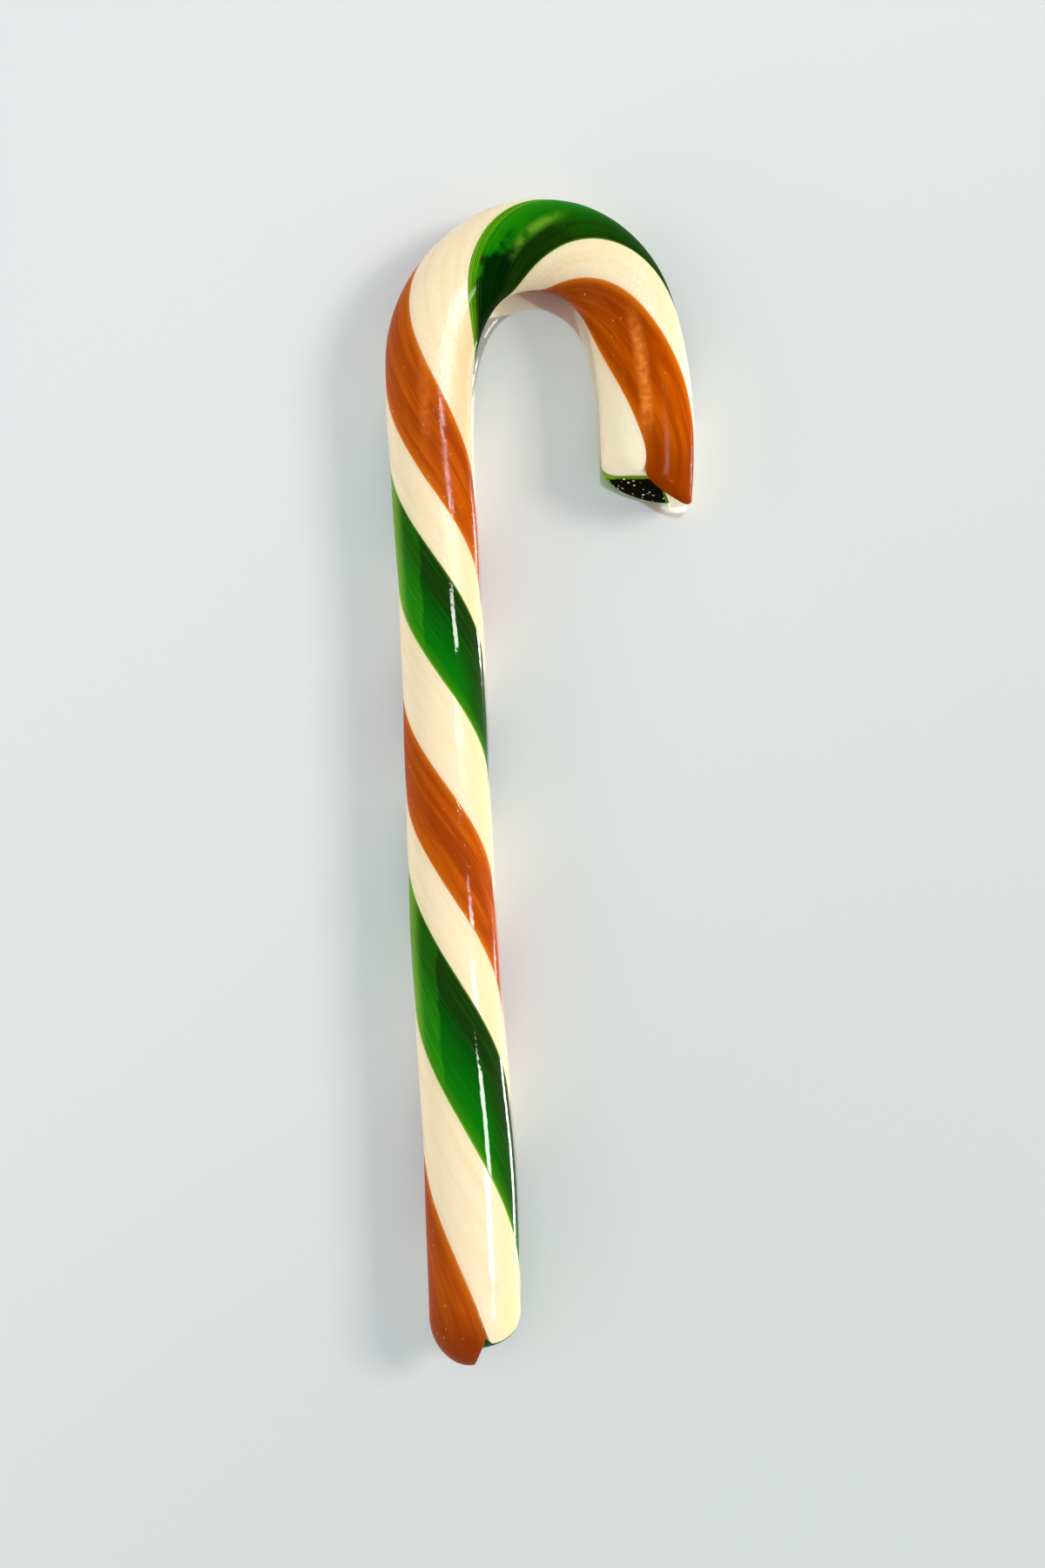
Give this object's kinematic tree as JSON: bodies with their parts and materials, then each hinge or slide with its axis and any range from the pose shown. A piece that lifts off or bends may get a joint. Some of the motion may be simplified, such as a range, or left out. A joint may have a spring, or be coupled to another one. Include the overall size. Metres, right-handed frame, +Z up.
{
  "type": "candy cane",
  "caption": "Hand-pulled candy cane of caramel, cream and clear green sugar strands twisted into one thick stick and bent into a hook.",
  "frame": {"origin": "on the table under the middle of the cane's bounding box, the cane lying on its side", "axes": "+Y along the shaft from the foot to the hook, +X towards the hook's open end, +Z up from the table"},
  "size_m": [0.0472, 0.1768, 0.014],
  "materials": {
    "caramel_sugar": "glossy boiled sugar, cloudy caramel",
    "cream_sugar": "satin gloss pulled sugar, opaque cream",
    "green_sugar": "glossy boiled sugar, deep clear green"
  },
  "bodies": {
    "root": {"caramel_strand": "caramel_sugar", "cream_strand_wide": "cream_sugar", "green_strand": "green_sugar", "cream_strand_narrow": "cream_sugar"}
  },
  "joints": []
}
